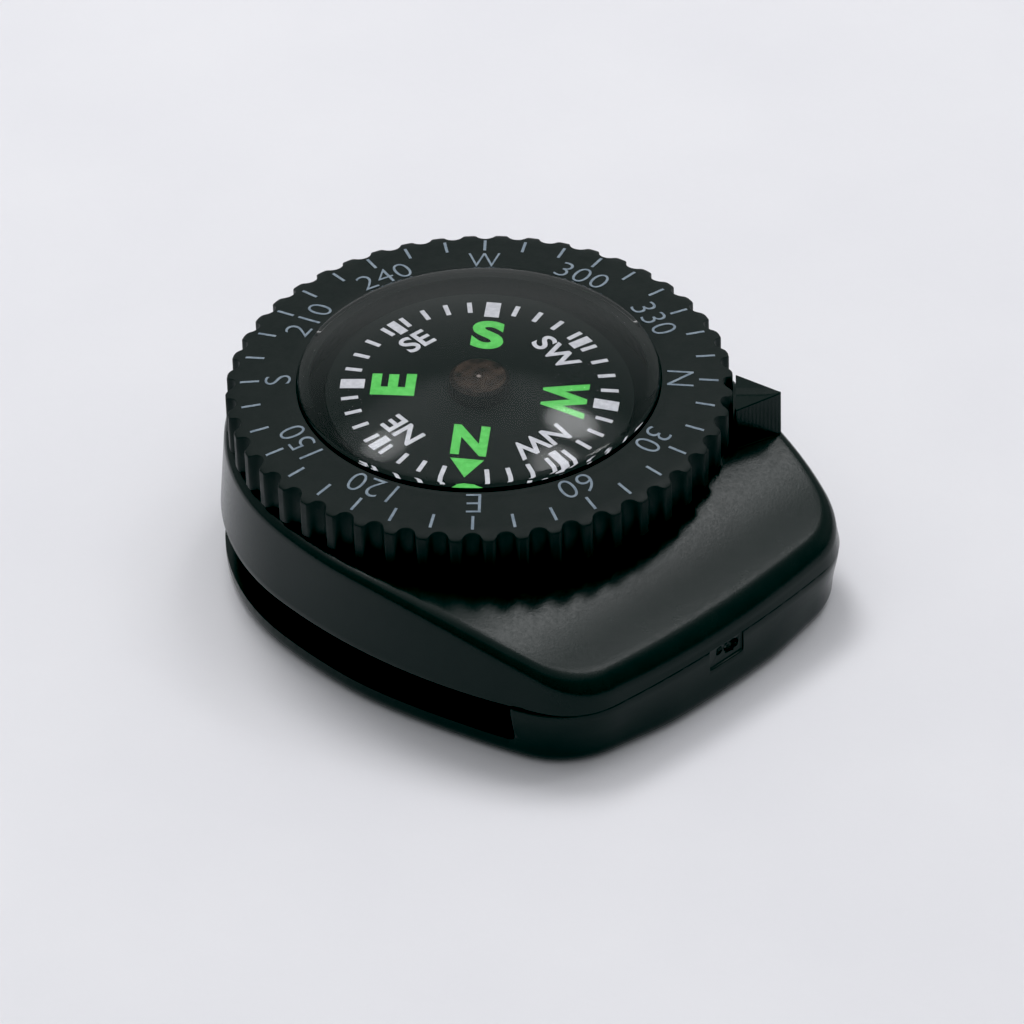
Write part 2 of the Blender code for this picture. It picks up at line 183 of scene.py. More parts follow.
def card_matrix():
    """Local Z is the card's spin axis, through the needle's point, and local Y points to the card's N."""
    spin = JOINTS["card_spin"]
    normal = Vector(spin["axis"]).normalized()
    north = Vector((math.cos(CARD_NORTH), math.sin(CARD_NORTH), 0.0))
    north = (north - normal * north.dot(normal)).normalized()
    east = north.cross(normal)
    turn = Matrix((east, north, normal)).transposed().to_4x4()
    return Matrix.Translation(spin["pos_m"]) @ turn


# Materials

def new_material(name):
    material = bpy.data.materials.new(name)
    material.use_nodes = True
    shader = material.node_tree.nodes["Principled BSDF"]
    return material, material.node_tree, shader


def noise(tree, scale, detail=3.0, roughness=0.5, stretch=None):
    """A noise texture in the object's own metres; stretch is how far each axis is squeezed."""
    place = tree.nodes.new("ShaderNodeTexCoord")
    texture = tree.nodes.new("ShaderNodeTexNoise")
    texture.inputs["Scale"].default_value = scale
    texture.inputs["Detail"].default_value = detail
    texture.inputs["Roughness"].default_value = roughness
    source = place.outputs["Object"]
    if stretch:
        mapping = tree.nodes.new("ShaderNodeMapping")
        mapping.inputs["Scale"].default_value = stretch
        tree.links.new(source, mapping.inputs["Vector"])
        source = mapping.outputs["Vector"]
    tree.links.new(source, texture.inputs["Vector"])
    return texture.outputs["Fac"]


def remap(tree, value, low, high, from_low=0.3, from_high=0.7):
    ranged = tree.nodes.new("ShaderNodeMapRange")
    ranged.inputs["From Min"].default_value = from_low
    ranged.inputs["From Max"].default_value = from_high
    ranged.inputs["To Min"].default_value = low
    ranged.inputs["To Max"].default_value = high
    tree.links.new(value, ranged.inputs["Value"])
    return ranged.outputs["Result"]


def two_colours(tree, value, first, second):
    ramp = tree.nodes.new("ShaderNodeValToRGB")
    ramp.color_ramp.elements[0].position = 0.35
    ramp.color_ramp.elements[0].color = (*first, 1.0)
    ramp.color_ramp.elements[1].position = 0.65
    ramp.color_ramp.elements[1].color = (*second, 1.0)
    tree.links.new(value, ramp.inputs["Fac"])
    return ramp.outputs["Color"]


def mix_colours(tree, share, first, second):
    """first where share is 0, second where it is 1. Either may be a colour or a node's output."""
    mix = tree.nodes.new("ShaderNodeMix")
    mix.data_type = "RGBA"
    tree.links.new(share, mix.inputs["Factor"])
    for socket, colour in (("A", first), ("B", second)):
        target = [s for s in mix.inputs if s.name == socket and s.type == "RGBA"][0]
        if isinstance(colour, tuple):
            target.default_value = (*colour, 1.0)
        else:
            tree.links.new(colour, target)
    return [s for s in mix.outputs if s.type == "RGBA"][0]


def bump(tree, value, strength, distance, normal=None):
    node = tree.nodes.new("ShaderNodeBump")
    node.inputs["Strength"].default_value = strength
    node.inputs["Distance"].default_value = distance
    tree.links.new(value, node.inputs["Height"])
    if normal:
        tree.links.new(normal, node.inputs["Normal"])
    return node.outputs["Normal"]


def surface(name, colours, roughness, grain, metallic=0.0, cloud=260.0, specular=0.5):
    """Two close colours in soft clouds, a roughness range and one or more layers of grain.

    grain is a list of (scale, strength, depth in metres)."""
    material, tree, shader = new_material(name)
    clouds = noise(tree, cloud, 4.0)
    tree.links.new(two_colours(tree, clouds, *colours), shader.inputs["Base Color"])
    rough = remap(tree, noise(tree, cloud * 5, 3.0), *roughness)
    tree.links.new(rough, shader.inputs["Roughness"])
    shader.inputs["Metallic"].default_value = metallic
    shader.inputs["Specular IOR Level"].default_value = specular
    normal = None
    for scale, strength, depth in grain:
        normal = bump(tree, noise(tree, scale, 2.0), strength, depth, normal)
    if normal:
        tree.links.new(normal, shader.inputs["Normal"])
    return material


def glass(name, ior):
    """Clear acrylic, with a breath of uneven polish. The IOR is against what lies outside that face."""
    material, tree, shader = new_material(name)
    shader.inputs["Base Color"].default_value = (1.0, 1.0, 1.0, 1.0)
    shader.inputs["Transmission Weight"].default_value = 1.0
    shader.inputs["IOR"].default_value = ior
    shader.inputs["Specular Tint"].default_value = (0.38, 0.38, 0.38, 1.0)
    polish = remap(tree, noise(tree, 700.0, 4.0), 0.0, 0.006)
    tree.links.new(polish, shader.inputs["Roughness"])
    return material


def hub_finish():
    """Near black on the sides, stained brown on faces that point up; a painted highlight as a pale dot at the
    axis.
    """
    material, tree, shader = new_material("hub_brass")
    place = tree.nodes.new("ShaderNodeTexCoord")
    facing = tree.nodes.new("ShaderNodeSeparateXYZ")
    tree.links.new(place.outputs["Normal"], facing.inputs["Vector"])
    centred = tree.nodes.new("ShaderNodeVectorMath")
    centred.operation = "SUBTRACT"
    centred.inputs[1].default_value = JOINTS["card_spin"]["pos_m"]
    tree.links.new(place.outputs["Object"], centred.inputs[0])
    flat_place = tree.nodes.new("ShaderNodeVectorMath")
    flat_place.operation = "MULTIPLY"
    flat_place.inputs[1].default_value = (1.0, 1.0, 0.0)
    tree.links.new(centred.outputs["Vector"], flat_place.inputs[0])
    radius = tree.nodes.new("ShaderNodeVectorMath")
    radius.operation = "LENGTH"
    tree.links.new(flat_place.outputs["Vector"], radius.inputs[0])
    stain = two_colours(tree, noise(tree, 1800.0, 4.0), (0.007, 0.0055, 0.0045), (0.036, 0.024, 0.018))
    # Painted highlight: a pale dot within 0.16 mm of the spin axis, on the cup's top.
    tip = mix_colours(tree, remap(tree, radius.outputs["Value"], 1.0, 0.0, 0.06 * MM, 0.16 * MM), stain,
                      (0.22, 0.19, 0.18))
    # Faces that point up take the stained colour and the sides go near black.
    top = mix_colours(tree, remap(tree, facing.outputs["Z"], 1.0, 0.0, 0.6, 0.9), tip, (0.005, 0.005, 0.005))
    tree.links.new(top, shader.inputs["Base Color"])
    tree.links.new(remap(tree, noise(tree, 4000.0), 0.45, 0.65), shader.inputs["Roughness"])
    shader.inputs["Specular IOR Level"].default_value = 0.05
    return material


CASE_PLASTIC = surface("case_plastic", ((0.0026, 0.0052, 0.0046), (0.0040, 0.0070, 0.0062)), (0.18, 0.25),
                       [(9000.0, 0.45, 0.010 * MM)], cloud=900.0, specular=0.18)
BEZEL_PLASTIC = surface("bezel_plastic", ((0.0050, 0.0065, 0.0062), (0.0068, 0.0085, 0.0080)), (0.42, 0.54),
                        [(6000.0, 0.5, 0.008 * MM)], specular=0.2)
BEZEL_PRINT = surface("bezel_print", ((0.15, 0.19, 0.235), (0.22, 0.265, 0.31)), (0.5, 0.65),
                      [(9000.0, 0.4, 0.006 * MM)], cloud=2500.0, specular=0.2)
CARD_BLACK = surface("card_black", ((0.0048, 0.0066, 0.0060), (0.0064, 0.0084, 0.0078)), (0.55, 0.7),
                     [(7000.0, 0.03, 0.004 * MM)], specular=0.03)
CARD_WHITE = surface("card_white", ((0.46, 0.47, 0.51), (0.56, 0.57, 0.61)), (0.5, 0.65),
                     [(8000.0, 0.4, 0.006 * MM)], cloud=4000.0, specular=0.05)
CARD_GREEN = surface("card_green", ((0.085, 0.46, 0.085), (0.12, 0.56, 0.12)), (0.45, 0.6),
                     [(8000.0, 0.4, 0.006 * MM)], cloud=3000.0, specular=0.05)
CUP_BLACK = surface("cup_black", ((0.0038, 0.0050, 0.0046), (0.0052, 0.0066, 0.0060)), (0.45, 0.55),
                    [(4000.0, 0.04, 0.005 * MM)], specular=0.05)
STEEL = surface("steel", ((0.42, 0.42, 0.43), (0.55, 0.55, 0.56)), (0.22, 0.34),
                [(6000.0, 0.3, 0.004 * MM)], metallic=1.0)
FERRITE = surface("ferrite_grey", ((0.03, 0.028, 0.026), (0.06, 0.055, 0.05)), (0.5, 0.7),
                  [(3500.0, 0.6, 0.02 * MM)], cloud=900.0)
JEWEL = surface("jewel_red", ((0.35, 0.03, 0.04), (0.5, 0.06, 0.08)), (0.08, 0.15), [], cloud=900.0)
RUBBER = surface("plug_black", ((0.012, 0.012, 0.012), (0.02, 0.02, 0.02)), (0.7, 0.85),
                 [(3000.0, 0.5, 0.015 * MM)])
FOAM = surface("foam_tape", ((0.55, 0.52, 0.43), (0.68, 0.65, 0.56)), (0.8, 0.95),
               [(2600.0, 0.9, 0.03 * MM)], cloud=1200.0)
POST_PLASTIC = surface("post_plastic", ((0.4, 0.4, 0.38), (0.5, 0.5, 0.48)), (0.4, 0.55),
                       [(4000.0, 0.3, 0.01 * MM)])
HUB_BRASS = hub_finish()
SEAL = surface("capsule_seal", ((0.004, 0.004, 0.004), (0.007, 0.007, 0.007)), (0.3, 0.42),
               [(5000.0, 0.3, 0.006 * MM)], cloud=1500.0, specular=0.2)
ACRYLIC_OUT = glass("acrylic_to_air", 1.49)
ACRYLIC_IN = glass("acrylic_to_liquid", 1.035)


# Mesh helpers

def mesh_object(name, bm, materials, smooth_angle=math.radians(40)):
    bmesh.ops.recalc_face_normals(bm, faces=bm.faces)
    mesh = bpy.data.meshes.new(name)
    bm.to_mesh(mesh)
    bm.free()
    for material in materials:
        mesh.materials.append(material)
    mesh.shade_smooth()
    mesh.set_sharp_from_angle(angle=smooth_angle)
    obj = bpy.data.objects.new(name, mesh)
    bpy.context.scene.collection.objects.link(obj)
    return obj


def loft_mesh(rings, closed=False):
    """Rings of equal length joined in order: closed on itself, or capped at both ends."""
    bm = bmesh.new()
    made = [[bm.verts.new(point) for point in ring] for ring in rings]
    count = len(made[0])
    pairs = list(zip(made, made[1:]))
    if closed:
        pairs.append((made[-1], made[0]))
    for lower, upper in pairs:
        for i in range(count):
            j = (i + 1) % count
            bm.faces.new((lower[i], lower[j], upper[j], upper[i]))
    if not closed:
        bm.faces.new(list(reversed(made[0])))
        bm.faces.new(made[-1])
    return bm


def apply_modifiers(obj):
    """The object's mesh as its modifiers leave it, with the modifiers cleared so that the mesh is plain."""
    graph = bpy.context.evaluated_depsgraph_get()
    mesh = bpy.data.meshes.new_from_object(obj.evaluated_get(graph))
    obj.modifiers.clear()
    obj.data = mesh


def boolean(obj, other, operation="DIFFERENCE"):
    modifier = obj.modifiers.new("cut", "BOOLEAN")
    modifier.operation = operation
    modifier.solver = "EXACT"
    modifier.object = other
    apply_modifiers(obj)
    bpy.data.objects.remove(other)


def soften_edges(obj, width, angle=math.radians(38), segments=3):
    modifier = obj.modifiers.new("edge", "BEVEL")
    modifier.width = width
    modifier.segments = segments
    modifier.limit_method = "ANGLE"
    modifier.angle_limit = angle
    modifier.harden_normals = True
    apply_modifiers(obj)


def box_mesh(size, centre):
    bm = bmesh.new()
    place = Matrix.Translation(centre) @ Matrix.Diagonal((*size, 1.0))
    bmesh.ops.create_cube(bm, size=1.0, matrix=place)
    return bm


def smooth_step(value, low, high):
    share = min(1.0, max(0.0, (value - low) / (high - low)))
    return share * share * (3 - 2 * share)


# Outline of the case: seen from the compass's axis, as (across, ahead towards the nose)

def ray_to_circle(direction, centre, radius):
    along = direction.dot(centre)
    return along + math.sqrt(along * along - centre.length_squared + radius * radius)


def outline_circles(round_r, side_r, corner_r):
    """Centres of the side's, the nose's and the corner's arcs."""
    tangent = Vector((math.cos(SIDE_TANGENT), -math.sin(SIDE_TANGENT)))
    side = -tangent * (side_r - round_r)
    nose = Vector((0.0, NOSE_REACH - NOSE_R))
    to_side = side_r - corner_r
    to_nose = NOSE_R - corner_r
    between = side - nose
    apart = between.length
    along = (to_nose ** 2 - to_side ** 2 + apart ** 2) / (2 * apart)
    off = math.sqrt(to_nose ** 2 - along ** 2)
    unit = between / apart
    corner = nose + unit * along - Vector((-unit.y, unit.x)) * off
    return side, nose, corner


def outline_radius(heading, round_r, side_r, corner_r):
    side, nose, corner = outline_circles(round_r, side_r, corner_r)
    direction = Vector((math.sin(heading), math.cos(heading)))
    side_end = corner + (corner - side).normalized() * corner_r
    nose_end = corner + (corner - nose).normalized() * corner_r
    if heading >= math.pi / 2 + SIDE_TANGENT:
        return round_r
    if heading >= math.atan2(side_end.x, side_end.y):
        return ray_to_circle(direction, side, side_r)
    if heading >= math.atan2(nose_end.x, nose_end.y):
        return ray_to_circle(direction, corner, corner_r)
    return ray_to_circle(direction, nose, NOSE_R)


def headings(steps, start=0.0):
    return [start + FULL_TURN * i / steps for i in range(steps)]


def place(heading, radius, z):
    return Vector((radius * math.sin(heading), AXIS_Y - radius * math.cos(heading), z))


def outline(steps, *radii):
    return [outline_radius(min(h, FULL_TURN - h), *radii) for h in headings(steps)]


def deck_z(heading, radius):
    beyond = max(0.0, radius * math.cos(heading) - DECK_FLAT)
    return LEDGE_Z - DECK_FALL * beyond * beyond


def window(heading, rise, fall):
    """1 between two headings on either side of the nose, fading at both; rise and fall in degrees."""
    off_nose = math.degrees(min(heading, FULL_TURN - heading))
    return smooth_step(off_nose, *rise) * (1 - smooth_step(off_nose, *fall))


def draft(heading):
    """How far the wall leans in: little at the nose and the round end, most on the arrow's flank."""
    flank = RIGHT_LEAN if heading < math.pi else LEFT_LEAN
    return NOSE_DRAFT + flank * window(heading, (26, 54), (68, 96)) \
        + WALL_DRAFT * window(heading, (70, 100), (180, 200))


def shoulder(heading):
    share = max(0.0, math.cos(heading))
    return SHOULDER_R + (NOSE_SHOULDER_R - SHOULDER_R) * share * share


# Case

def wall_point(heading, outer, share):
    """The wall between the seam and the shoulder, share of the way up."""
    rounding = shoulder(heading)
    inner = outer - draft(heading)
    top = deck_z(heading, inner) - rounding
    return place(heading, outer - draft(heading) * share, SEAM_Z + (top - SEAM_Z) * share)


def case_rings():
    turns = headings(OUTLINE_STEPS)
    wall = outline(OUTLINE_STEPS, ROUND_R, SIDE_R, CORNER_R)
    rings = [[place(h, r - SEAM_EDGE, SEAM_Z) for h, r in zip(turns, wall)]]
    for share in (0.03, 0.1, 0.35, 0.65, 0.9, 0.97):
        rings.append([wall_point(h, r, share) for h, r in zip(turns, wall)])
    steps = 10
    for step in range(steps + 1):
        rise = math.pi / 2 * step / steps
        ring = []
        for h, r in zip(turns, wall):
            rounding = shoulder(h)
            inner = r - draft(h) - rounding * (1 - math.cos(rise))
            ring.append(place(h, inner, deck_z(h, inner) - rounding * (1 - math.sin(rise))))
        rings.append(ring)
    for share in (0.04, 0.15, 0.3, 0.45, 0.6, 0.75, 0.9, 1.0):
        ring = []
        for h, r in zip(turns, wall):
            start = r - draft(h) - shoulder(h)
            inner = start + (COLLAR_R - start) * share
            ring.append(place(h, inner, deck_z(h, inner)))
        rings.append(ring)
    edge = 0.12 * MM
    collar = [(COLLAR_R, GROOVE_Z[0]), (COLLAR_GROOVE_R, GROOVE_Z[0]), (COLLAR_GROOVE_R, GROOVE_Z[1]),
              (COLLAR_R, GROOVE_Z[1]), (COLLAR_R, COLLAR_TOP_Z - edge), (COLLAR_R - edge, COLLAR_TOP_Z),
              (WELL_R + edge, COLLAR_TOP_Z), (WELL_R, COLLAR_TOP_Z - edge), (WELL_R, WELL_FLOOR_Z)]
    rings += [[place(h, radius, z) for h in turns] for radius, z in collar]
    return rings


def build_case():
    case = mesh_object("case_shell", loft_mesh(case_rings()), [CASE_PLASTIC])
    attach(case, "case")
    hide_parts("case")


def arrow_point(reach, side, z):
    ahead = Vector((math.sin(ARROW_TURN), -math.cos(ARROW_TURN)))
    across = Vector((-ahead.y, ahead.x))
    point = ahead * reach + across * side
    return Vector((point.x, point.y + AXIS_Y, z))


def arrow_section(reach, half):
    """Half a ribbed side, a small edge, half the top and half its groove, then the same mirrored."""
    edge = min(0.06 * MM, 0.4 * half)
    groove = min(ARROW_GROOVE_HALF, 0.62 * half)
    depth = ARROW_GROOVE * groove / ARROW_GROOVE_HALF
    foot_bead = 0.07 * MM
    made = []
    for side in (-1, 1):
        ahead = reach * math.cos(ARROW_TURN) - side * half * math.sin(ARROW_TURN)
        beyond = max(0.0, ahead - DECK_FLAT)
        deck = LEDGE_Z - DECK_FALL * beyond * beyond
        run = [(half + foot_bead, deck - 0.6 * MM), (half + foot_bead, deck + 0.02 * MM),
               (half + 0.4 * foot_bead, deck + foot_bead), (half, deck + 1.6 * foot_bead),
               (half, ARROW_TOP_Z - edge), (half - edge, ARROW_TOP_Z), (groove, ARROW_TOP_Z)]
        run = [arrow_point(reach, side * across, z) for across, z in run]
        made += run if side < 0 else list(reversed(run))
        if side < 0:
            made.append(arrow_point(reach, 0.0, ARROW_TOP_Z - depth))
    return made


def build_arrow():
    """Triangular block with a groove down its middle and fine ribs up its sides, lofted base to tip."""
    sections = 64
    rib_depth = 0.012 * MM
    tip_half = 0.12 * MM
    end_edge = 0.05 * MM
    first = ARROW_BASE + end_edge
    last = ARROW_TIP - 0.06 * MM
    rings = [arrow_section(ARROW_BASE, ARROW_HALF - end_edge)]
    for i in range(sections + 1):
        share = i / sections
        half = ARROW_HALF + (tip_half - ARROW_HALF) * share
        if 0 < i < sections:
            half -= rib_depth * (i % 2)
        rings.append(arrow_section(first + (last - first) * share, half))
    rings.append(arrow_section(ARROW_TIP, tip_half * 0.4))
    arrow = mesh_object("direction_arrow", loft_mesh(rings), [CASE_PLASTIC], math.radians(18))
    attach(arrow, "case")


# Clip plate

def torn_lump(size, centre, seed):
    """Cutter for the scar of a torn-off moulding stub: a ball pushed about by seeded steps."""
    rng = random.Random(seed)
    roughness = 0.34
    bm = bmesh.new()
    bmesh.ops.create_icosphere(bm, subdivisions=3, radius=0.5)
    for vert in bm.verts:
        co = vert.co * (1 + roughness * (rng.random() - 0.5))
        vert.co = Vector((co.x * size[0], co.y * size[1], co.z * size[2])) + Vector(centre)
    return mesh_object("torn_lump", bm, [], math.radians(80))


def build_clip_plate():
    turns = headings(OUTLINE_STEPS)
    wall = outline(OUTLINE_STEPS, PLATE_ROUND_R, PLATE_SIDE_R, PLATE_CORNER_R)
    foot = [r - PLATE_TAPER * window(h, (10, 25), (45, 75)) for h, r in zip(turns, wall)]
    rings = []
    steps = 8
    for step in range(steps + 1):
        rise = math.pi / 2 * step / steps
        inset = PLATE_EDGE_R * (1 - math.sin(rise))
        z = PLATE_EDGE_R * (1 - math.cos(rise))
        rings.append([place(h, r - inset, z) for h, r in zip(turns, foot)])
    top = SEAM_Z - SEAM_GAP
    for z in (1.6 * MM, 2.2 * MM, 2.8 * MM, 3.3 * MM, top - 0.12 * MM):
        share = smooth_step(z, PLATE_EDGE_R, top)
        rings.append([place(h, low + (r - low) * share, z) for h, low, r in zip(turns, foot, wall)])
    rings.append([place(h, r - SEAM_EDGE, top) for h, r in zip(turns, wall)])
    plate = mesh_object("clip_plate_shell", loft_mesh(rings), [CASE_PLASTIC])
    reach = 2 * ROUND_R
    height = 4 * MM
    slot = mesh_object("slot_cut", box_mesh((4 * ROUND_R, reach + SLOT_END, height),
                                            (0.0, AXIS_Y + (reach - SLOT_END) / 2, PLATE_T + height / 2)), [])
    soften_edges(slot, SLOT_CORNER_R, segments=6)
    boolean(plate, slot)
    _, deep, high = GATE_SIZE
    gate = mesh_object("gate_cut", box_mesh(GATE_SIZE, (0.0, AXIS_Y - NOSE_REACH, SEAM_Z - high / 2)), [])
    soften_edges(gate, 0.16 * MM, segments=5)
    boolean(plate, gate)
    scar_y = AXIS_Y - NOSE_REACH + deep / 2
    boolean(plate, torn_lump((1.25 * MM, 0.6 * MM, 0.85 * MM), (0.5 * MM, scar_y, SEAM_Z - 0.62 * MM), 4))
    boolean(plate, torn_lump((0.5 * MM, 0.4 * MM, 0.6 * MM), (-0.45 * MM, scar_y, SEAM_Z - 0.5 * MM), 9))
    soften_edges(plate, 0.06 * MM, math.radians(50), segments=2)
    plate.data.set_sharp_from_angle(angle=math.radians(40))
    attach(plate, "case")
    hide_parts("clip_plate")


# Bezel

def scale_z(radius):
    """Height of the bezel's top face: it rises a little towards the dome and rounds off at the rim."""
    if radius < TICK_RING_R:
        return SCALE_Z + (INNER_LIP_Z - SCALE_Z) * (TICK_RING_R - radius) / (TICK_RING_R - BEZEL_HOLE_R)
    share = min(1.0, (radius - TICK_RING_R) / (BEZEL_R - TICK_RING_R))
    return SCALE_Z - CREST_FALL * (1 - (1 - share ** 1.8) ** 0.6)


def flute_depth(index):
    """Depth of the fluting: deep round grooves whose lips blend into the crests between them."""
    pitch = FULL_TURN * BEZEL_R / FLUTES
    off = abs(pitch * ((index % FLUTE_POINTS) / FLUTE_POINTS - 0.5)) / FLUTE_HALF
    lip = 0.94
    fillet = 0.34
    lip_depth = math.sqrt(1 - lip * lip)
    if off < lip:
        return FLUTE_DEPTH * math.sqrt(1 - off * off)
    if off < lip + fillet:
        return FLUTE_DEPTH * lip_depth * ((lip + fillet - off) / fillet) ** 2
    return 0.0


def build_bezel():
    count = FLUTES * FLUTE_POINTS
    turns = headings(count, ARROW_TURN)
    depths = [flute_depth(i + FLUTE_POINTS // 2) for i in range(count)]
    lip_z = INNER_LIP_Z - 0.12 * MM
    inner = [(BEZEL_HOLE_R + 0.02 * MM, lip_z), (BEZEL_HOLE_R, lip_z - 0.03 * MM),
             (BEZEL_HOLE_R, COLLAR_TOP_Z + 0.15 * MM), (BEZEL_BORE_R, COLLAR_TOP_Z + 0.15 * MM),
             (BEZEL_BORE_R, GROOVE_Z[1]), (BEZEL_GROOVE_R, GROOVE_Z[1]), (BEZEL_GROOVE_R, GROOVE_Z[0]),
             (BEZEL_BORE_R, GROOVE_Z[0]), (BEZEL_BORE_R, BEZEL_BOTTOM_Z)]
    rings = [[place(h, r, z) for h in turns] for r, z in inner]
    foot = 0.12 * MM
    for inset, z in ((foot, 0.0), (0.3 * foot, 0.3 * foot), (0.0, foot)):
        rings.append([place(h, BEZEL_R - d - inset, BEZEL_BOTTOM_Z + z) for h, d in zip(turns, depths)])
    steps = 16
    for step in range(steps + 1):
        out = math.cos(math.pi / 2 * step / steps)
        reach = TICK_RING_R + (BEZEL_R - TICK_RING_R) * out
        ring = []
        for h, d in zip(turns, depths):
            radius = min(reach, BEZEL_R - d - 0.012 * MM * step)
            edge = 0.05 * MM * max(0.0, 1 - step / 4) if reach > radius else 0.0
            ring.append(place(h, radius, scale_z(radius) - edge))
        rings.append(ring)
    for radius in (12.5 * MM, 11.8 * MM, 11.2 * MM, 10.85 * MM):
        rings.append([place(h, radius, scale_z(radius)) for h in turns])
    rings.append([place(h, 10.6 * MM, lip_z) for h in turns])
    bezel = mesh_object("bezel_ring", loft_mesh(rings, closed=True), [BEZEL_PLASTIC], math.radians(50))
    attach(bezel, "bezel")
    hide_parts("bezel")


def bar(bm, centre_angle, r_in, r_out, width, height_of, steps=4):
    """A thin printed bar across the scale, lying on a surface whose height is a function of radius."""
    along = Vector((math.cos(centre_angle), math.sin(centre_angle), 0.0))
    across = Vector((-along.y, along.x, 0.0))
    rows = []
    for i in range(steps + 1):
        r = r_in + (r_out - r_in) * i / steps
        row = []
        for side, lift in ((-0.5, 0.0), (-0.5, PRINT_T), (0.5, PRINT_T), (0.5, 0.0)):
            point = along * r + across * (side * width)
            row.append(bm.verts.new((point.x, point.y, height_of(r) + lift)))
        rows.append(row)
    for a, b in zip(rows, rows[1:]):
        for i in range(4):
            j = (i + 1) % 4
            bm.faces.new((a[i], a[j], b[j], b[i]))
    bm.faces.new(list(reversed(rows[0])))
    bm.faces.new(rows[-1])


def letters(text, cap_height, offset=0.0, wide=1.0, spacing=1.0):
    """A mesh of the text, centred on the origin, its capitals cap_height tall, up along Y.

    offset fattens the strokes, or thins them where it is negative."""
    curve = bpy.data.curves.new("lettering", "FONT")
    curve.body = text
    curve.align_x = "CENTER"
    curve.space_character = spacing
    curve.offset = offset
    curve.resolution_u = 6
    curve.extrude = 0.5
    obj = bpy.data.objects.new("lettering", curve)
    bpy.context.scene.collection.objects.link(obj)
    graph = bpy.context.evaluated_depsgraph_get()
    mesh = bpy.data.meshes.new_from_object(obj.evaluated_get(graph))
    bpy.data.objects.remove(obj)
    xs = [v.co.x for v in mesh.vertices]
    ys = [v.co.y for v in mesh.vertices]
    middle = ((min(xs) + max(xs)) / 2, (min(ys) + max(ys)) / 2)
    scale = cap_height / (max(ys) - min(ys))
    for v in mesh.vertices:
        v.co = Vector(((v.co.x - middle[0]) * scale * wide, (v.co.y - middle[1]) * scale,
                       (v.co.z + 0.5) * PRINT_T))
    return mesh


def add_letters(bm, mesh, angle, radius, height_of):
    """Sets the text at an angle round the scale, its top outwards."""
    outwards = Vector((math.cos(angle), math.sin(angle), 0.0))
    reading = Vector((outwards.y, -outwards.x, 0.0))
    made = []
    for v in mesh.vertices:
        point = reading * v.co.x + outwards * (radius + v.co.y)
        made.append(bm.verts.new((point.x, point.y, height_of(point.length) + v.co.z)))
    for polygon in mesh.polygons:
        bm.faces.new([made[i] for i in polygon.vertices])
    bpy.data.meshes.remove(mesh)


def scale_angle(degrees):
    """World angle of a degree mark on the bezel, whose N stands at the direction arrow."""
    north = ARROW_TURN - math.pi / 2
    return north - math.radians(degrees)


def bezel_print(name, bm):
    for vert in bm.verts:
        vert.co.y += AXIS_Y
    obj = mesh_object(name, bm, [BEZEL_PRINT], math.radians(30))
    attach(obj, "bezel")


def build_bezel_scale():
    ticks = bmesh.new()
    for degrees in range(0, 360, 10):
        bar(ticks, scale_angle(degrees), *TICK_SPAN, TICK_WIDTH, scale_z)
    bezel_print("bezel_ticks", ticks)
    labels = bmesh.new()
    for i in range(12):
        text = {0: "N", 3: "E", 6: "S", 9: "W"}.get(i, str(30 * i))
        wide = 0.82 if text == "W" else 1.0
        mesh = letters(text, FIGURE_HEIGHT, offset=-0.014, wide=wide, spacing=1.04)
        add_letters(labels, mesh, scale_angle(30 * i), FIGURE_RING_R, scale_z)
    bezel_print("bezel_figures", labels)


# Capsule

def cap_height(radius, sphere_r, apex_z):
    return apex_z - sphere_r + math.sqrt(sphere_r * sphere_r - radius * radius)


def turned_shell(name, profile, steps, materials, finish_of):
    """A shell turned about the axis. finish_of says which material follows each point of the profile."""
    bm = bmesh.new()
    rings = []
    for radius, z in profile:
        if radius < 1e-7:
            rings.append([bm.verts.new((0.0, AXIS_Y, z))])
        else:
            rings.append([bm.verts.new(place(h, radius, z)) for h in headings(steps)])
    for index, (a, b) in enumerate(zip(rings, rings[1:])):
        for i in range(steps):
            j = (i + 1) % steps
            corners = [a[i % len(a)], a[j % len(a)], b[j % len(b)], b[i % len(b)]]
            face = bm.faces.new(list(dict.fromkeys(corners)))
            face.material_index = finish_of(index)
    return mesh_object(name, bm, materials, math.radians(60))


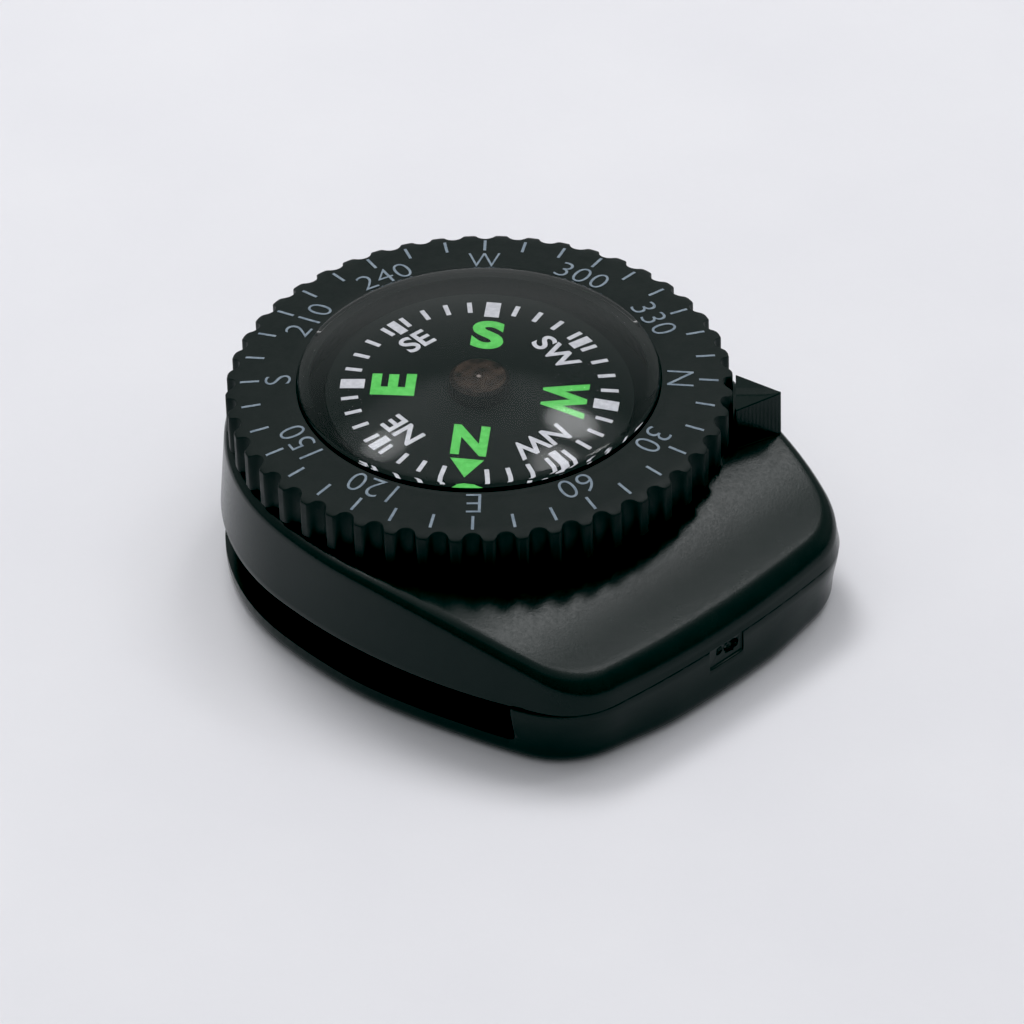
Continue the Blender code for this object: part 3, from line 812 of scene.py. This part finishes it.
def build_dome():
    """A shallow lens seated on the collar, with a narrow bevel and a black seal round it and a foot below."""
    edge = 0.04 * MM
    rim_r = DOME_R + 0.06 * MM
    hip_r = DOME_R + 0.18 * MM
    profile = []
    rows = 36
    for i in range(rows + 1):
        radius = (rim_r - edge) * i / rows
        profile.append((radius, cap_height(radius, DOME_SPHERE_R, DOME_APEX_Z)))
    rim_z = cap_height(rim_r, DOME_SPHERE_R, DOME_APEX_Z)
    seat_z = COLLAR_TOP_Z + 0.1 * MM
    profile += [(rim_r + 0.3 * edge, rim_z - 0.8 * edge), (hip_r - 0.3 * edge, rim_z - 0.21 * MM)]
    seal_from = len(profile) - 1
    profile += [(hip_r, rim_z - 0.25 * MM), (hip_r - 0.02 * MM, seat_z + edge), (hip_r - edge, seat_z),
                (DOME_R - edge, seat_z)]
    seal_to = len(profile) - 1
    for share in (0.05, 0.5, 0.95):
        profile.append((DOME_R - 0.02 * MM, seat_z + (DOME_FOOT_Z - seat_z) * share))
    profile.append((DOME_R - 0.07 * MM, DOME_FOOT_Z))
    inner_from = len(profile) - 1
    profile.append((LIQUID_R, DOME_FOOT_Z))
    inner_top = DOME_APEX_Z - DOME_T
    inner_sphere = DOME_SPHERE_R - DOME_T
    inner_z = cap_height(LIQUID_R, inner_sphere, inner_top)
    for share in (0.05, 0.5, 0.95):
        profile.append((LIQUID_R, DOME_FOOT_Z + (inner_z - DOME_FOOT_Z) * share))
    for i in range(rows + 1):
        radius = LIQUID_R * (1 - i / rows)
        profile.append((radius, cap_height(radius, inner_sphere, inner_top)))

    def finish_of(index):
        if seal_from <= index < seal_to:
            return 2
        return 1 if index >= inner_from else 0

    dome = turned_shell("dome_lens", profile, 160, [ACRYLIC_OUT, ACRYLIC_IN, SEAL], finish_of)
    dome.visible_shadow = False
    dome.visible_diffuse = False
    dome.visible_glossy = False
    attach(dome, "case")
    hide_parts("capsule_dome")


# Card

def flat(radius):
    """Height of the card's face: the same at every radius."""
    return CARD_TOP


def card_piece(name, bm, material):
    obj = mesh_object(name, bm, [material], math.radians(30))
    obj.matrix_world = card_matrix()
    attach(obj, "card")


def card_angle(degrees):
    """Angle in the card's own plane: N is along local Y and the points run clockwise."""
    return math.pi / 2 - math.radians(degrees)


def build_card_print():
    white = bmesh.new()
    tick_in, tick_out = 6.4 * MM, 7.35 * MM
    for degrees in range(10, 360, 10):
        if degrees % 90:
            bar(white, card_angle(degrees), tick_in, tick_out, 0.25 * MM, flat)
    for degrees in (90, 180, 270):
        bar(white, card_angle(degrees), tick_in - 0.35 * MM, tick_out + 0.05 * MM, 0.76 * MM, flat)
    for degrees in (45, 135, 225, 315):
        bar(white, card_angle(degrees), tick_in - 0.25 * MM, tick_out + 0.05 * MM, 0.5 * MM, flat)
    card_piece("card_ticks", white, CARD_WHITE)
    names = bmesh.new()
    for degrees, text in ((45, "NE"), (135, "SE"), (225, "SW"), (315, "NW")):
        mesh = letters(text, 1.35 * MM, offset=0.022)
        add_letters(names, mesh, card_angle(degrees), 5.15 * MM, flat)
    card_piece("card_half_points", names, CARD_WHITE)
    green = bmesh.new()
    cardinals = ((0, "N", 0.86, 4.1 * MM), (90, "E", 1.18, 4.5 * MM),
                 (180, "S", 1.18, 4.5 * MM), (270, "W", 0.8, 4.5 * MM))
    for degrees, text, wide, radius in cardinals:
        mesh = letters(text, 2.38 * MM, offset=0.042, wide=wide)
        add_letters(green, mesh, card_angle(degrees), radius, flat)
    pointer = [(-0.9 * MM, 5.6 * MM), (0.9 * MM, 5.6 * MM), (0.0, 7.1 * MM)]
    low = [green.verts.new((x, y, CARD_TOP)) for x, y in pointer]
    high = [green.verts.new((x, y, CARD_TOP + PRINT_T)) for x, y in pointer]
    green.faces.new(high)
    green.faces.new(list(reversed(low)))
    for i in range(3):
        j = (i + 1) % 3
        green.faces.new((low[i], low[j], high[j], high[i]))
    card_piece("card_cardinal_points", green, CARD_GREEN)


def paint_cad_nodes():
    """The CAD pieces whose shape is already right get their finishes."""
    finishes = {
        "bezel_tension_ring": STEEL,
        "capsule_cup": CUP_BLACK,
        "fill_plug": RUBBER,
        "capsule_pad": FOAM,
        "pivot_post": POST_PLASTIC,
        "pivot_pin": STEEL,
        "compass_card": CARD_BLACK,
        "card_magnet": FERRITE,
        "jewel_cup": HUB_BRASS,
        "jewel": JEWEL,
    }
    for node, material in finishes.items():
        mesh = frame["nodes"][node].data
        mesh.materials.clear()
        mesh.materials.append(material)


# Setting

def build_floor():
    bm = bmesh.new()
    bmesh.ops.create_circle(bm, cap_ends=True, segments=96, radius=FLOOR_R)
    paper = surface("paper", ((0.695, 0.695, 0.727), (0.715, 0.715, 0.744)), (0.8, 0.9),
                    [(900.0, 0.25, 0.05 * MM)], cloud=60.0, specular=0.2)
    mesh_object("floor", bm, [paper])


def toward(azimuth, elevation):
    """Azimuth 0 is straight beyond the compass as the camera sees it, positive to the right."""
    turn = math.radians(azimuth) - CAMERA_AZIMUTH
    rise = math.radians(elevation)
    return Vector((math.sin(turn) * math.cos(rise), math.cos(turn) * math.cos(rise), math.sin(rise)))


def build_camera():
    back = Vector((math.sin(CAMERA_AZIMUTH) * math.cos(CAMERA_ELEVATION),
                   -math.cos(CAMERA_AZIMUTH) * math.cos(CAMERA_ELEVATION), math.sin(CAMERA_ELEVATION)))
    data = bpy.data.cameras.new("camera")
    data.sensor_width = 36.0
    data.lens = CAMERA_LENS
    data.clip_start = 0.01
    data.clip_end = 20.0
    camera = bpy.data.objects.new("camera", data)
    bpy.context.scene.collection.objects.link(camera)
    camera.location = CAMERA_AIM + back * CAMERA_DISTANCE
    level = (-back).to_track_quat("-Z", "Y").to_matrix()
    camera.rotation_mode = "QUATERNION"
    camera.rotation_quaternion = (level @ Matrix.Rotation(-CAMERA_ROLL, 3, "Z")).to_quaternion()
    bpy.context.scene.camera = camera


def ranged(tree, value, from_low, from_high, low, high):
    """A smooth step: low where value is from_low or less, high where it is from_high or more."""
    node = tree.nodes.new("ShaderNodeMapRange")
    node.interpolation_type = "SMOOTHSTEP"
    node.inputs["From Min"].default_value = from_low
    node.inputs["From Max"].default_value = from_high
    node.inputs["To Min"].default_value = low
    node.inputs["To Max"].default_value = high
    tree.links.new(value, node.inputs["Value"])
    return node.outputs["Result"]


def maths(tree, operation, *values):
    node = tree.nodes.new("ShaderNodeMath")
    node.operation = operation
    for socket, value in zip(node.inputs, values):
        if isinstance(value, float):
            socket.default_value = value
        else:
            tree.links.new(value, socket)
    return node.outputs["Value"]


def along(tree, direction, vector):
    node = tree.nodes.new("ShaderNodeVectorMath")
    node.operation = "DOT_PRODUCT"
    node.inputs[1].default_value = vector
    tree.links.new(direction, node.inputs[0])
    return node.outputs["Value"]


def soft_patch(tree, direction, azimuth, elevation, core, edge, strength):
    """A round soft light in the sky, full within core degrees of its centre and gone at edge."""
    near = along(tree, direction, toward(azimuth, elevation))
    return ranged(tree, near, math.cos(math.radians(edge)), math.cos(math.radians(core)), 0.0, strength)


def build_world():
    """A dim room that is brighter overhead, with soft lights high up beyond the compass."""
    world = bpy.data.worlds.new("studio")
    bpy.context.scene.world = world
    world.use_nodes = True
    tree = world.node_tree
    direction = tree.nodes.new("ShaderNodeTexCoord").outputs["Generated"]
    height = along(tree, direction, (0.0, 0.0, 1.0))
    walls = ranged(tree, height, 0.0, math.sin(WALLS_TOP), HORIZON, ROOM)
    ceiling = ranged(tree, height, math.sin(CEILING_FROM), math.sin(CEILING_FULL), 0.0, CEILING - ROOM)
    ahead = ranged(tree, along(tree, direction, toward(0.0, 0.0)), -0.35, 0.25, BEHIND, 1.0)
    light = maths(tree, "MULTIPLY", maths(tree, "ADD", walls, ceiling), ahead)
    for patch in LIGHTS:
        light = maths(tree, "ADD", light, soft_patch(tree, direction, *patch))
    seen = tree.nodes.new("ShaderNodeLightPath").outputs["Is Camera Ray"]
    background = tree.nodes["Background"]
    background.inputs["Color"].default_value = (0.98, 0.985, 1.0, 1.0)
    tree.links.new(maths(tree, "ADD", maths(tree, "MULTIPLY", light, maths(tree, "SUBTRACT", 1.0, seen)),
                         maths(tree, "MULTIPLY", BACKDROP, seen)), background.inputs["Strength"])


def build_key():
    """A broad lamp that throws the soft shadow, without a mirror image of itself in the dome."""
    azimuth, elevation, distance, size, power = KEY
    data = bpy.data.lights.new("key", "AREA")
    data.shape = "DISK"
    data.size = size
    data.energy = power
    lamp = bpy.data.objects.new("key", data)
    bpy.context.scene.collection.objects.link(lamp)
    lamp.visible_glossy = False
    lamp.visible_transmission = False
    ray = toward(azimuth, elevation)
    lamp.location = ray * distance
    lamp.rotation_mode = "QUATERNION"
    lamp.rotation_quaternion = ray.to_track_quat("Z", "Y")


def grade_picture():
    settings = bpy.context.scene.view_settings
    settings.view_transform = "Standard"
    settings.use_curve_mapping = True
    settings.curve_mapping.black_level = BLACK_LEVEL
    settings.curve_mapping.update()


build_case()
build_arrow()
build_clip_plate()
build_bezel()
build_bezel_scale()
build_dome()
build_card_print()
paint_cad_nodes()
build_floor()
build_camera()
build_world()
build_key()
grade_picture()
